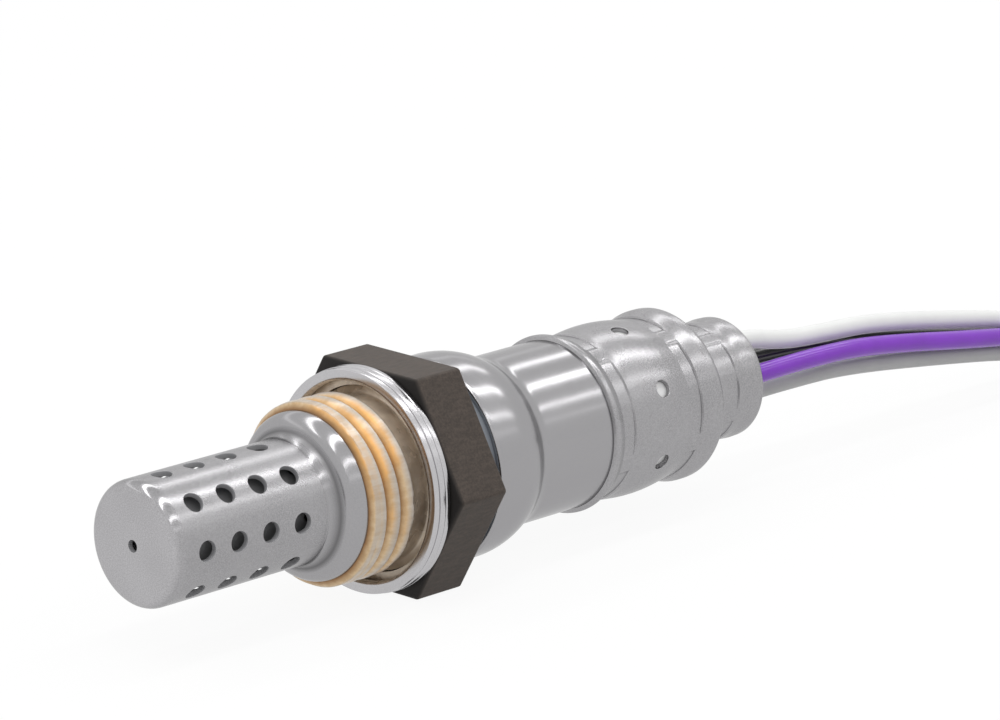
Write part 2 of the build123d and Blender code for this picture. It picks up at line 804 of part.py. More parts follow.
def connector_fittings():
    inset = 2 * (connector_wall + tower_gap)
    tower = (connector_width - inset, connector_height - inset)
    seal = block(hood_depth - ring_seal_length, hood_depth - slip, (0, 0), tower[0] + 2 * ring_seal_squeeze,
                 tower[1] + 2 * ring_seal_squeeze, 1.2)
    seal -= block(hood_depth - ring_seal_length - 1, hood_depth + 1, (0, 0), tower[0] + slip, tower[1] + slip,
                  0.6)
    lock_x = hood_depth + lock_setback
    depth = lock_depth + lock_proud
    lock = block(lock_x + loose / 2, lock_x + lock_length - loose / 2,
                 (lock_depth - loose / 2 - depth / 2 - connector_width / 2, 0), depth - loose,
                 lock_width - loose)
    lock -= block(lock_x + 1.8, lock_x + lock_length - 1.8, (-connector_width / 2 - lock_proud, 0), 1.0,
                  lock_width - 2)
    seals, sockets = [], []
    for centre in cavity_places():
        seal_front = connector_length - seal_depth
        plug = rod(seal_front + slip, connector_length + 0.4, cavity_radius - slip, centre)
        seals.append(plug - rod(seal_front - 1, connector_length + 1, wire_diameter / 2 + slip / 2, centre))
        contact_end = contact_start + contact_length
        box = block(contact_start, contact_end, centre, *contact_size)
        box -= block(contact_start - 1, contact_end - 3, centre, contact_size[0] - 2 * contact_wall,
                     contact_size[1] - 2 * contact_wall)
        barrel = rod(contact_end, seal_front, barrel_radius, centre)
        barrel -= rod(contact_end + 2, seal_front + 1, barrel_bore_radius, centre)
        sockets.append(box + barrel)
    return {
        "connector_ring_seal": connector_place * seal,
        "connector_lock": connector_place * lock,
        "connector_wire_seals": Compound(children=[connector_place * seal for seal in seals]),
        "connector_sockets": Compound(children=[connector_place * socket for socket in sockets]),
    }


def build():
    nodes = {
        "housing": housing(),
        "gasket": gasket(),
        "outer_protector": outer_protector(),
        "inner_protector": inner_protector(),
        "sensing_element": sensing_element(),
        "seat_washer": seat_washer(),
        "heater_rod": heater_rod(),
        **packing(),
        "main_sleeve": main_sleeve(),
        "rear_cover": rear_cover(),
        "vent_filter": vent_filter(),
        "terminal_insulator": terminal_insulator(),
        "insulator_spring": insulator_spring(),
        **contacts(),
        "grommet": grommet(),
    }
    for name in core_places:
        lead = wire(name, lead_route(name))
        tail = wire(name + " tail", tail_route(name))
        nodes[name] = Compound(children=[lead, tail])
    nodes["lead_hank"], nodes["hank_tie"] = hank_and_tie()
    nodes["connector_body"] = connector_body()
    nodes.update(connector_fittings())
    return nodes


os.makedirs("parts", exist_ok=True)
for node, shape in build().items():
    export_step(shape, f"parts/{node}.step")
    print(node, len(shape.solids()), "solid", round(shape.volume, 2), "mm3")
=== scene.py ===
from math import atan2, cos, hypot, pi, radians, sin

import bmesh
import bpy
from mathutils import Matrix, Vector


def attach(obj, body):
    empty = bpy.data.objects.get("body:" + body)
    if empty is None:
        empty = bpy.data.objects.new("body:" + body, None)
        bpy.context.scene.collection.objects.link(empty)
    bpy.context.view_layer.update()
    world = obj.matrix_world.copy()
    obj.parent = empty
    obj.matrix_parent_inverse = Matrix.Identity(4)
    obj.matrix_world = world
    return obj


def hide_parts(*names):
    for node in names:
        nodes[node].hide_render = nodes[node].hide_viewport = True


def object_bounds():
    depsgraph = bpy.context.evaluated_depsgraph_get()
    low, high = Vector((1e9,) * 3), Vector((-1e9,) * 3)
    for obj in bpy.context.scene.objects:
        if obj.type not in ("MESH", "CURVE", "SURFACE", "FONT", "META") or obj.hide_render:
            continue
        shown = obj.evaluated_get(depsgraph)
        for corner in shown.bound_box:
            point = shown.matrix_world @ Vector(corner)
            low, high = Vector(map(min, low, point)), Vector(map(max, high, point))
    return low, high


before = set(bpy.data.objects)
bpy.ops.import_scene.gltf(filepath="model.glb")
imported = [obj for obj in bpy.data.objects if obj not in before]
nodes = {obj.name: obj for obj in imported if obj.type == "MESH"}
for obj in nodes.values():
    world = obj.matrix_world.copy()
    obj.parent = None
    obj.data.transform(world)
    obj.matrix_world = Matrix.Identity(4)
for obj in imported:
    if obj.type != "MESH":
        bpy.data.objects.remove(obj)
cad_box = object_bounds()

MM = 0.001
scene = bpy.context.scene
scene.view_settings.view_transform = "Standard"


# Camera, fitted to the photograph by the sensor's circles and the hexagon's corners

VIEW_TURN, VIEW_HEIGHT, VIEW_ROLL = radians(-45.313), radians(15.596), radians(-0.212)
VIEW_DISTANCE = 526.66 * MM
VIEW_TARGET = Vector((17.686, 0, 8.026)) * MM
LENS_LENGTH, SENSOR_WIDTH = 196.06, 36
NEAREST_SEEN = 0.01


def place_camera():
    """Camera that looks at the target from the fitted direction, turned a little about its own axis."""
    back = Vector((sin(VIEW_TURN) * cos(VIEW_HEIGHT), -cos(VIEW_TURN) * cos(VIEW_HEIGHT), sin(VIEW_HEIGHT)))
    level = Vector((cos(VIEW_TURN), sin(VIEW_TURN), 0))
    upright = back.cross(level)
    right = level * cos(VIEW_ROLL) + upright * sin(VIEW_ROLL)
    up = back.cross(right)
    data = bpy.data.cameras.new("camera")
    data.lens = LENS_LENGTH
    data.sensor_width = SENSOR_WIDTH
    data.clip_start = NEAREST_SEEN
    camera = bpy.data.objects.new("camera", data)
    scene.collection.objects.link(camera)
    turn = Matrix((right, up, back)).transposed().to_4x4()
    camera.matrix_world = Matrix.Translation(VIEW_TARGET + back * VIEW_DISTANCE) @ turn
    scene.camera = camera


place_camera()


# Materials

class Finish:
    """Node material that is put together a few nodes at a time."""

    def __init__(self, name):
        self.material = bpy.data.materials.new(name)
        self.material.use_nodes = True
        self.tree = self.material.node_tree
        self.shader = self.tree.nodes["Principled BSDF"]
        places = self.node("ShaderNodeTexCoord")
        self.place, self.wrap = places.outputs["Object"], places.outputs["UV"]

    def node(self, kind, **values):
        """New node. Each value goes to its setting of that name, or else to its input."""
        made = self.tree.nodes.new(kind)
        for key, value in values.items():
            if hasattr(made, key):
                setattr(made, key, value)
            else:
                made.inputs[key.replace("_", " ")].default_value = value
        return made

    def join(self, output, node_input):
        """Link from a node's output to an input."""
        self.tree.links.new(output, node_input)

    def set(self, **values):
        """Constants of the shader."""
        for key, value in values.items():
            self.shader.inputs[key.replace("_", " ")].default_value = value

    def stretched(self, scale, source=None):
        """Object position times a scale for each axis."""
        mapping = self.node("ShaderNodeMapping")
        mapping.inputs["Scale"].default_value = scale
        self.join(source or self.place, mapping.inputs["Vector"])
        return mapping.outputs["Vector"]

    def noise(self, scale, detail, rough, vector=None):
        """Noise of about scale lumps a metre, or in the stretched space of vector."""
        made = self.node("ShaderNodeTexNoise", Scale=scale, Detail=detail, Roughness=rough)
        self.join(vector or self.place, made.inputs["Vector"])
        return made.outputs["Fac"]

    def ramp(self, source, low, high, start=0.35, end=0.65):
        """Number from one range to another."""
        made = self.node("ShaderNodeMapRange")
        for key, value in (("From Min", start), ("From Max", end), ("To Min", low), ("To Max", high)):
            made.inputs[key].default_value = value
        self.join(source, made.inputs["Value"])
        return made.outputs["Result"]

    def blend(self, source, first, second, start=0.35, end=0.65):
        """Colour between two, by a number. Each may be a colour or another node's output."""
        made = self.node("ShaderNodeMix", data_type="RGBA")
        self.join(self.ramp(source, 0, 1, start, end), made.inputs["Factor"])
        for socket, colour in ((made.inputs[6], first), (made.inputs[7], second)):
            if isinstance(colour, tuple):
                socket.default_value = (*colour, 1)
            else:
                self.join(colour, socket)
        return made.outputs[2]

    def math(self, operation, first, second):
        """Result of an operation on two outputs."""
        made = self.node("ShaderNodeMath", operation=operation)
        self.join(first, made.inputs[0])
        self.join(second, made.inputs[1])
        return made.outputs[0]

    def off_axis(self):
        """Distance from the sensor's axis."""
        made = self.node("ShaderNodeVectorMath", operation="LENGTH")
        self.join(self.stretched((0, 1, 1)), made.inputs[0])
        return made.outputs["Value"]

    def along_axis(self):
        """Place along the sensor's axis."""
        made = self.node("ShaderNodeSeparateXYZ")
        self.join(self.place, made.inputs[0])
        return made.outputs["X"]

    def colour(self, output):
        self.join(output, self.shader.inputs["Base Color"])

    def roughness(self, output):
        self.join(output, self.shader.inputs["Roughness"])

    def bumps(self, *layers):
        """Bump from (height output, strength, depth in millimetres) layers."""
        last = None
        for height, strength, depth in layers:
            bump = self.node("ShaderNodeBump")
            bump.inputs["Strength"].default_value = strength
            bump.inputs["Distance"].default_value = depth * MM
            self.join(height, bump.inputs["Height"])
            if last:
                self.join(last, bump.inputs["Normal"])
            last = bump.outputs["Normal"]
        self.join(last, self.shader.inputs["Normal"])


# Painted shade in the concave foot of a steel piece, and painted light on the end face of a burnished end: times its
# shade and times its roughness
FOOT_PAINTED_SHADE, FOOT_ROUGHNESS = 0.45, 2.4
END_PAINTED_LIGHT, END_ROUGHNESS = 1.2, 0.5
# Millimetres in front of the burnished end's rear limit: where it's fully smooth, and where the painted light on its
# face blends
SMOOTH_REACH, FACE_REACH = 0.5, (1.25, 0.8)


def steel(name, shade, roughness, grain=0.012, brush=0.0, waves=0.0, spread=0.04, tint=(1.0, 0.985, 1.01),
          burnished_to=None, foot=None):
    """Bare steel: a grey with fine grain, turning lines round the axis and slow waves of a drawn sheet.
    It's smoother in front of burnished_to, with painted light on the end face there, and painted shade in the concave
    foot between the radii of foot."""
    finish = Finish(name)
    lines = finish.noise(1.0, 3, 0.6, finish.stretched((9000, 260, 260)))
    specks = finish.noise(7500, 3, 0.65)
    patches = finish.noise(160, 3, 0.55)
    cloud = finish.math("ADD", finish.ramp(specks, 0, 0.8), finish.ramp(patches, 0, 0.2))

    def clouded(level):
        low, high = level * (1 - spread), level * (1 + spread)
        return finish.blend(cloud, tuple(low * part for part in tint), tuple(high * part for part in tint), 0.1, 0.9)

    shades = clouded(shade)
    rough = finish.ramp(patches, roughness - 0.02, roughness + 0.03)
    # Painted shade: the colour darkens towards the middle of the concave foot, where shade falls; the roughness rises
    # there too
    if foot:
        distance = finish.off_axis()
        inner, outer = foot[0] * MM, foot[1] * MM
        middle = (inner + outer) / 2
        foot_painted_shade = finish.math("MULTIPLY", finish.ramp(distance, 0, 1, inner, middle),
                           finish.ramp(distance, 1, 0, middle, outer))
        shades = finish.blend(foot_painted_shade, shades, tuple(shade * FOOT_PAINTED_SHADE * part for part in tint), 0, 1)
        rough = finish.math("MULTIPLY", rough, finish.ramp(foot_painted_shade, 1, FOOT_ROUGHNESS, 0, 1))
    if burnished_to is not None:
        x = finish.along_axis()
        smooth = finish.ramp(x, END_ROUGHNESS, 1, (burnished_to - SMOOTH_REACH) * MM, burnished_to * MM)
        rough = finish.math("MULTIPLY", rough, smooth)
        # Painted light: the end face gets a lighter copy of the steel's shade, 1.2 times as light
        start, end = ((burnished_to - reach) * MM for reach in FACE_REACH)
        shades = finish.blend(x, clouded(shade * END_PAINTED_LIGHT), shades, start, end)
    finish.colour(shades)
    finish.roughness(rough)
    finish.set(Metallic=1.0, Specular_Tint=(0.8, 0.8, 0.8, 1))
    layers = [(specks, 0.35, grain), (lines, 0.3, brush)]
    if waves:
        layers.append((finish.noise(1.0, 1, 0.4, finish.stretched((230, 420, 420))), 0.5, waves))
    finish.bumps(*[layer for layer in layers if layer[2]])
    return finish.material


# Near-black colour of the painted shade on the hexagon's front face
HEX_FRONT_PAINTED_SHADE = (0.012, 0.01, 0.009)


def dark_steel(name, low, high, roughness):
    """Blackened steel of the hexagon: matt and brown-grey with fine light specks, with painted shade on its front
    face.
    """
    finish = Finish(name)
    specks = finish.noise(4200, 4, 0.75)
    lines = finish.noise(1.0, 3, 0.6, finish.stretched((700, 2600, 2600)))
    cloud = finish.math("ADD", finish.ramp(specks, 0, 0.7), finish.ramp(lines, 0, 0.3))
    plain = finish.blend(cloud, low, high, 0.2, 0.85)
    # Painted shade: near black on the front face, blending into the plain colour within 0.4 mm along the axis
    finish.colour(finish.blend(finish.along_axis(), HEX_FRONT_PAINTED_SHADE, plain, 0.02 * MM, 0.4 * MM))
    finish.roughness(finish.ramp(specks, roughness - 0.05, roughness + 0.08))
    finish.set(Metallic=0.25, Specular_IOR_Level=0.35)
    finish.bumps((specks, 0.5, 0.02), (lines, 0.3, 0.015))
    return finish.material


# Angle about the axis towards which the paste turns golden, and radii between which it darkens and wears off
PASTE_ANGLE = 52
PASTE_RADII, WORN_RADII = (8.3, 8.86), (8.78, 8.99)


def greased_thread():
    """Thread steel under copper paste: worn on the crests, dark in the valleys, more golden towards one side about the
    axis and in blotches.
    """
    finish = Finish("copper_greased_thread")
    unit = finish.node("ShaderNodeVectorMath", operation="NORMALIZE")
    finish.join(finish.stretched((0, 1, 1)), unit.inputs[0])
    side = finish.node("ShaderNodeVectorMath", operation="DOT_PRODUCT")
    finish.join(unit.outputs["Vector"], side.inputs[0])
    side.inputs[1].default_value = (0, -cos(radians(PASTE_ANGLE)), sin(radians(PASTE_ANGLE)))
    blotches = finish.noise(230, 2, 0.5)
    streaks = finish.noise(1.0, 3, 0.6, finish.stretched((400, 1800, 1800)))
    golden_share = finish.math("ADD", side.outputs["Value"], finish.ramp(blotches, -0.35, 0.35))
    height = finish.math("ADD", finish.off_axis(), finish.ramp(streaks, -0.025 * MM, 0.025 * MM))
    beige = finish.blend(streaks, (0.6, 0.43, 0.25), (0.7, 0.53, 0.33))
    golden = finish.blend(blotches, (0.48, 0.25, 0.08), (0.8, 0.45, 0.16))
    paste = finish.blend(golden_share, beige, golden, 0.45, 1.15)
    flanks = finish.blend(height, (0.3, 0.165, 0.075), paste, *(radius * MM for radius in PASTE_RADII))
    worn = finish.blend(streaks, (0.42, 0.37, 0.32), (0.52, 0.465, 0.4))
    finish.colour(finish.blend(height, flanks, worn, *(radius * MM for radius in WORN_RADII)))
    finish.roughness(finish.ramp(blotches, 0.28, 0.45))
    finish.set(Metallic=0.75)
    finish.bumps((blotches, 0.4, 0.06), (streaks, 0.3, 0.02))
    return finish.material


def stained_neck():
    """Neck and seat next to the thread: steel with a brown film of paste."""
    finish = Finish("paste_stained_steel")
    blotches = finish.noise(240, 3, 0.6)
    finish.colour(finish.blend(blotches, (0.46, 0.38, 0.3), (0.85, 0.75, 0.62)))
    finish.roughness(finish.ramp(blotches, 0.22, 0.4))
    finish.set(Metallic=0.35)
    finish.bumps((blotches, 0.2, 0.03))
    return finish.material


def insulation(name, colour, roughness, mottle=0.06, shine=0.5):
    """Extruded wire covering: smooth, with a faint cloud in its colour and die lines along the wire."""
    finish = Finish(name)
    cloud = finish.noise(300, 3, 0.6)
    low = tuple(part * (1 - mottle) for part in colour)
    high = tuple(min(1, part * (1 + mottle)) for part in colour)
    finish.colour(finish.blend(cloud, low, high))
    finish.roughness(finish.ramp(cloud, roughness - 0.03, roughness + 0.04))
    finish.set(Specular_IOR_Level=shine)
    finish.bumps((finish.noise(1.0, 2, 0.6, finish.stretched((6, 24, 0), finish.wrap)), 0.5, 0.02))
    return finish.material


def moulded(name, colour, roughness, grain=0.015):
    """Moulded plastic or rubber: matt, finely eroded."""
    finish = Finish(name)
    pores = finish.noise(3200, 3, 0.6)
    cloud = finish.noise(90, 2, 0.5)
    finish.colour(finish.blend(cloud, tuple(part * 0.88 for part in colour), tuple(part * 1.1 for part in colour)))
    finish.roughness(finish.ramp(pores, roughness - 0.06, roughness + 0.06))
    finish.bumps((pores, 0.4, grain))
    return finish.material


# The tip's steel has painted light on its end face
tip_steel = steel("satin_tip_steel", 0.345, 0.27, grain=0.008, brush=0.006, spread=0.13, burnished_to=-28.6)
# The shoulder's steel has painted shade in its concave foot, between radii 6.08 and 7.1 mm
shoulder_steel = steel("polished_shoulder_steel", 0.345, 0.16, grain=0.006, brush=0.006, foot=(6.08, 7.1))
sleeve_steel = steel("polished_sleeve_steel", 0.34, 0.19, grain=0.003, brush=0.004, waves=0.04, spread=0.02)
cover_steel = steel("satin_cover_steel", 0.345, 0.27, grain=0.008, brush=0.003, spread=0.14)
gasket_steel = steel("bright_gasket_steel", 0.5, 0.22, grain=0.008, brush=0.012)
inner_steel = moulded("matt_inner_steel", (0.3, 0.3, 0.31), 0.5)
# Hole walls: a much lighter steel than the tip's, partly the bright sheared edge and partly painted light on the lit
# walls
sheared_painted_light_steel = steel("sheared_edge_painted_light_steel", 0.85, 0.6)
land_steel = moulded("blued_land_steel", (0.17, 0.185, 0.21), 0.4)
hexagon_steel = dark_steel("blackened_hexagon_steel", (0.042, 0.033, 0.027), (0.082, 0.064, 0.053), 0.6)
thread_finish = greased_thread()
neck_finish = stained_neck()
zirconia = moulded("electrode_coated_zirconia", (0.32, 0.32, 0.31), 0.6)
white_ceramic = moulded("white_ceramic", (0.8, 0.8, 0.76), 0.55)
talc_powder = moulded("pressed_talc", (0.5, 0.5, 0.46), 0.8, 0.03)
filter_white = moulded("white_filter_plastic", (0.82, 0.82, 0.82), 0.6)
contact_metal = steel("plated_contact_metal", 0.5, 0.3)
socket_brass = steel("tinned_socket_brass", 0.55, 0.3, tint=(1.0, 0.88, 0.62))
grommet_rubber = moulded("black_grommet_rubber", (0.02, 0.02, 0.02), 0.6)
seal_rubber = moulded("blue_seal_rubber", (0.05, 0.14, 0.4), 0.45)
connector_plastic = moulded("black_connector_plastic", (0.022, 0.022, 0.024), 0.45, 0.02)
lock_plastic = moulded("grey_lock_plastic", (0.3, 0.3, 0.32), 0.45, 0.02)
tie_plastic = moulded("black_tie_plastic", (0.018, 0.018, 0.018), 0.4)
wire_finishes = {
    "white_wire": insulation("white_wire_covering", (0.775, 0.78, 0.77), 0.38, 0.02),
    "black_wire": insulation("black_wire_covering", (0.012, 0.012, 0.012), 0.2, 0.1, 0.7),
    "purple_wire": insulation("purple_wire_covering", (0.19, 0.014, 0.49), 0.15, 0.05),
    "grey_wire": insulation("grey_wire_covering", (0.43, 0.43, 0.43), 0.4, 0.03, 0.4),
}


# Helpers for meshes

def finished(obj, material, slot, *replaced):
    """Last step of each piece: its finish, its body and the solids that it stands for. The slot argument is not used.
    """
    if material and not obj.data.materials:
        obj.data.materials.append(material)
    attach(obj, "root")
    if replaced:
        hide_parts(*replaced)
    return obj


def on_axis(x, radius, angle):
    """Point at an angle about the axis: 0 degrees is -Y and 90 degrees is +Z."""
    return (x, -radius * cos(radians(angle)), radius * sin(radians(angle)))


def rounded(corners, steps=6):
    """Outline through corners (x, radius) or (x, radius, blend), each blend as points on a tangent arc."""
    points = []
    for number, corner in enumerate(corners):
        point = Vector(corner[:2])
        if len(corner) < 3:
            points.append(tuple(point))
            continue
        back = (Vector(corners[number - 1][:2]) - point).normalized()
        ahead = (Vector(corners[(number + 1) % len(corners)][:2]) - point).normalized()
        half = back.angle(ahead) / 2
        centre = point + (back + ahead).normalized() * corner[2] / sin(half)
        reach = corner[2] * cos(half) / sin(half)
        first, last = point + back * reach - centre, point + ahead * reach - centre
        turn = first.angle_signed(last)
        for step in range(steps + 1):
            spoke = first.copy()
            spoke.rotate(Matrix.Rotation(-turn * step / steps, 2))
            points.append(tuple(centre + spoke))
    return points


def divided(points, longest):
    """The same outline with its longer runs cut into even steps."""
    result = []
    for number, point in enumerate(points):
        after = points[(number + 1) % len(points)]
        parts = max(1, round(hypot(after[0] - point[0], after[1] - point[1]) / longest))
        for part in range(parts):
            share = part / parts
            result.append((point[0] + (after[0] - point[0]) * share, point[1] + (after[1] - point[1]) * share))
    return result


def grid_object(name, rows, closed_rows=False, closed_columns=True, skipped=()):
    """Mesh from rows of points in millimetres; cells named in skipped (row, column) stay open."""
    columns = len(rows[0])
    points = [Vector(point) * MM for row in rows for point in row]
    faces = []
    for i in range(len(rows) if closed_rows else len(rows) - 1):
        after = (i + 1) % len(rows)
        for j in range(columns if closed_columns else columns - 1):
            if (i, j) in skipped:
                continue
            side = (j + 1) % columns
            faces.append((i * columns + j, i * columns + side, after * columns + side, after * columns + j))
    return mesh_object(name, points, faces)


def mesh_object(name, points, faces):
    """Object from points in metres and faces."""
    mesh = bpy.data.meshes.new(name)
    mesh.from_pydata(points, [], faces)
    mesh.validate()
    obj = bpy.data.objects.new(name, mesh)
    scene.collection.objects.link(obj)
    return obj


def sealed(obj, weld=0.0005, angle=32):
    """Joins doubled points, turns the faces outwards and shades the result."""
    made = bmesh.new()
    made.from_mesh(obj.data)
    bmesh.ops.remove_doubles(made, verts=made.verts, dist=weld * MM)
    bmesh.ops.recalc_face_normals(made, faces=made.faces)
    made.to_mesh(obj.data)
    made.free()
    obj.data.shade_smooth()
    obj.data.set_sharp_from_angle(angle=radians(angle))
    return obj


def bridged(obj, angle=32):
    """Closes a shell that is open at both ends, by faces between its two rims."""
    made = bmesh.new()
    made.from_mesh(obj.data)
    bmesh.ops.bridge_loops(made, edges=[edge for edge in made.edges if edge.is_boundary])
    made.to_mesh(obj.data)
    made.free()
    return sealed(obj, angle=angle)


def add_patch(points, faces, new_points, new_faces):
    """Adds new points, in millimetres, and the faces between them to a mesh's lists."""
    start = len(points)
    points.extend(Vector(point) * MM for point in new_points)
    faces.extend(tuple(start + index for index in face) for face in new_faces)


def lathe(name, outline, columns=192, angle=32):
    """Ring turned about the X axis from a closed outline of (x, radius) points."""
    rows = [[on_axis(x, radius, 360 * j / columns) for j in range(columns)] for x, radius in outline]
    return sealed(grid_object(name, rows, closed_rows=True), angle=angle)


class Rule:
    """Geometry Nodes tree with named inputs that ends in Realize Instances and Set Material."""

    def __init__(self, name, **inputs):
        self.tree = bpy.data.node_groups.new(name, "GeometryNodeTree")
        self.tree.is_modifier = True
        face = self.tree.interface
        face.new_socket("Geometry", in_out="INPUT", socket_type="NodeSocketGeometry")
        face.new_socket("Geometry", in_out="OUTPUT", socket_type="NodeSocketGeometry")
        kinds = {int: "NodeSocketInt", float: "NodeSocketFloat"}
        self.values = {}
        for label, value in inputs.items():
            socket = face.new_socket(label.replace("_", " "), in_out="INPUT", socket_type=kinds[type(value)])
            self.values[socket.identifier] = value
        self.start = self.tree.nodes.new("NodeGroupInput")
        self.end = self.tree.nodes.new("NodeGroupOutput")

    def read(self, label):
        """Output of the group's input of that name."""
        return self.start.outputs[label]

    def node(self, kind, *links, **values):
        """New node with its settings and, in order, its inputs: numbers or other nodes' outputs."""
        made = self.tree.nodes.new(kind)
        for key, value in values.items():
            setattr(made, key, value)
        for number, source in enumerate(links):
            if isinstance(source, (int, float)):
                made.inputs[number].default_value = source
            else:
                self.tree.links.new(source, made.inputs[number])
        return made

    def math(self, operation, *links):
        """Result of an operation on numbers or outputs."""
        return self.node("ShaderNodeMath", *links, operation=operation).outputs[0]

    def close(self, geometry, material, weld):
        """Realize Instances, a weld within so many millimetres, Set Material and the output."""
        real = self.node("GeometryNodeRealizeInstances", geometry).outputs[0]
        merge = self.node("GeometryNodeMergeByDistance", real)
        merge.inputs["Distance"].default_value = weld * MM
        paint = self.node("GeometryNodeSetMaterial", merge.outputs[0])
        paint.inputs["Material"].default_value = material
        self.tree.links.new(paint.outputs[0], self.end.inputs[0])

    def made_from(self, obj, name, angle=32):
        """Runs the tree on an object and returns the result as a plain mesh object."""
        modifier = obj.modifiers.new(name, "NODES")
        modifier.node_group = self.tree
        for identifier, value in self.values.items():
            modifier[identifier] = value
        bpy.context.view_layer.update()
        shape = obj.evaluated_get(bpy.context.evaluated_depsgraph_get())
        mesh = bpy.data.meshes.new_from_object(shape)
        mesh.name = name
        obj.modifiers.remove(modifier)
        bpy.data.objects.remove(obj)
        result = bpy.data.objects.new(name, mesh)
        scene.collection.objects.link(result)
        return sealed(result, angle=angle)


# Housing: the turned body, the hexagon and the thread's turns

NOSE_REAR, NOSE_RADIUS = -8.02, 8.24
RELIEF_RADIUS, STAIN_END = 8.25, 0.2
HEX_FLATS, HEX_LENGTH, HEX_BORE = 21.7, 6.0, 9.0
HEX_CORNER, HEX_EDGE = 0.45, 0.3
# Outline of one turn of the thread, as (place along the axis, radius): long front flank, crest, steep rear flank
TOOTH = ((0.0, 8.3), (0.12, 8.3), (0.22, 8.38), (0.34, 8.52), (0.48, 8.66), (0.62, 8.77), (0.78, 8.85), (0.94, 8.91),
         (1.1, 8.95), (1.24, 8.98), (1.38, 9.0), (1.46, 9.0), (1.5, 8.98), (1.54, 8.93), (1.76, 8.38), (1.83, 8.3))
TURNS, TURN_STEPS = 6, 144


def housing_body():
    """Nose, thread core, relief, land and collar with the bore behind them, as one ring."""
    outline = rounded((
        (-11.3, 6.102), (-10.1, 6.11, 1.33), (-9.4, 8.26, 1.72), (NOSE_REAR, NOSE_RADIUS),
        (NOSE_REAR, 7.9), (-2.4, 7.9), (-2.4, RELIEF_RADIUS - 0.02), (-0.45, RELIEF_RADIUS, 0.45), (0.02, 9.05),
        (0.3, 9.05), (0.3, 9.3), (5.7, 9.3), (5.7, 9.62), (10.6, 9.62), (10.6, 8.95), (12.7, 8.95, 0.75),
        (12.7, 6.9), (12.0, 6.9), (12.0, 7.45), (-1.0, 7.45), (-2.2, 5.6), (-8.24, 5.6), (-8.24, 7.35),
        (-9.2, 7.35), (-9.2, 6.13)))
    obj = lathe("housing_body", divided(outline, 0.8))
    for material in (shoulder_steel, neck_finish, land_steel):
        obj.data.materials.append(material)
    for face in obj.data.polygons:
        x = face.center.x / MM
        face.material_index = 0 if x < NOSE_REAR else 1 if x < STAIN_END else 2
    return finished(obj, None, "housing_steel", "housing")


def hexagon_ring(x, inset):
    """Points of the hexagon at x, moved in by inset, with rounded corners and a flat pointing down."""
    reach = (HEX_FLATS / 2 - HEX_CORNER) / cos(pi / 6)
    spoke = HEX_CORNER - inset

    def corner_point(corner, turn):
        return Vector((x, reach * cos(radians(corner)) + spoke * cos(radians(corner + turn)),
                       reach * sin(radians(corner)) + spoke * sin(radians(corner + turn))))

    points = []
    for corner in range(0, 360, 60):
        points += [corner_point(corner, turn) for turn in range(-30, 31, 10)]
        start, end = points[-1], corner_point(corner + 60, -30)
        points += [start.lerp(end, share) for share in (0.02, 0.2, 0.4, 0.6, 0.8, 0.98)]
    return points


def hexagon():
    """Hexagon with an even small round along all its edges."""
    rim = [(0, HEX_EDGE + 0.06)]
    for turn in range(90, -1, -18):
        rim.append((HEX_EDGE * (1 - sin(radians(turn))), HEX_EDGE * (1 - cos(radians(turn)))))
    rim.append((HEX_EDGE + 0.08, 0))
    bore = [Vector((0, point.y, point.z)).normalized() * HEX_BORE for point in hexagon_ring(0, 0)]
    rows = [bore]
    rows += [hexagon_ring(x, inset) for x, inset in rim]
    rows += [hexagon_ring(HEX_LENGTH - x, inset) for x, inset in reversed(rim)]
    rows.append([(HEX_LENGTH, point.y, point.z) for point in bore])
    obj = sealed(grid_object("hexagon", rows, closed_rows=True), angle=40)
    return finished(obj, hexagon_steel, "housing_steel", "housing")


